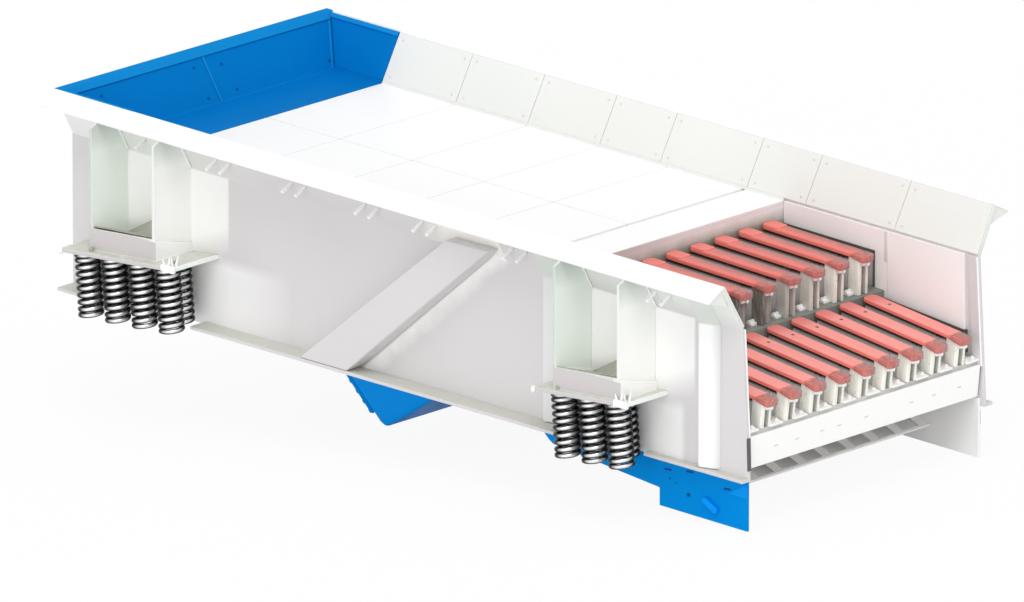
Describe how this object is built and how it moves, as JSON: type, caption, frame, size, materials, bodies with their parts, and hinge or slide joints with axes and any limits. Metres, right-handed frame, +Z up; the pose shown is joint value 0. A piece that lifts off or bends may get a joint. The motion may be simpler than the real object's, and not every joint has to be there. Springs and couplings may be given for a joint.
{
  "type": "vibrating grizzly feeder",
  "caption": "Open steel trough with flared sides, a plated deck and two steps of capped grizzly bars, carried on coil springs with a vibrating drive slung below.",
  "frame": {"origin": "centre of the underside of the outer front spring foot on the near side, nearest the discharge", "axes": "+Z up when installed, +X towards the discharge end, +Y across from the near side to the far side; the deck slopes 5 degrees down along +X"},
  "size_m": [3.7318, 1.836, 1.3247],
  "materials": {
    "white_paint": "satin",
    "blue_paint": "satin",
    "red_paint": "satin",
    "spring_steel": "satin",
    "liner_plate": "satin",
    "bar_steel": "satin"
  },
  "bodies": {
    "root": {"bottom_flanges": "white_paint", "cross_tubes": "white_paint", "deck_end_plate": "white_paint", "deck_pan": "white_paint", "deck_plates": "liner_plate", "deck_ribs": "white_paint", "exciter_bands": "white_paint", "exciter_beam": "white_paint", "exciter_hangers": "blue_paint", "exciter_housing": "blue_paint", "flare_liners_far": "liner_plate", "flare_liners_near": "liner_plate", "front_bar_bodies": "bar_steel", "front_bar_caps": "red_paint", "front_edge_strips": "white_paint", "front_lip": "white_paint", "rear_bar_bodies": "bar_steel", "rear_bar_caps": "red_paint", "rear_floor_liner": "blue_paint", "rear_side_liners": "blue_paint", "rear_wall": "blue_paint", "rear_wall_liner": "blue_paint", "rim_flange_far": "white_paint", "rim_flange_near": "white_paint", "seat_beam": "white_paint", "side_plate_far": "white_paint", "side_plate_near": "white_paint", "side_stiffeners": "white_paint", "skirts": "blue_paint", "slotted_plate": "white_paint", "spring_bracket_front_far": "white_paint", "spring_bracket_front_near": "white_paint", "spring_bracket_rear_far": "white_paint", "spring_bracket_rear_near": "white_paint", "springs_front_far": "spring_steel", "springs_front_near": "spring_steel", "springs_rear_far": "spring_steel", "springs_rear_near": "spring_steel", "step_beam": "white_paint", "wall_liners": "liner_plate"}
  },
  "joints": []
}
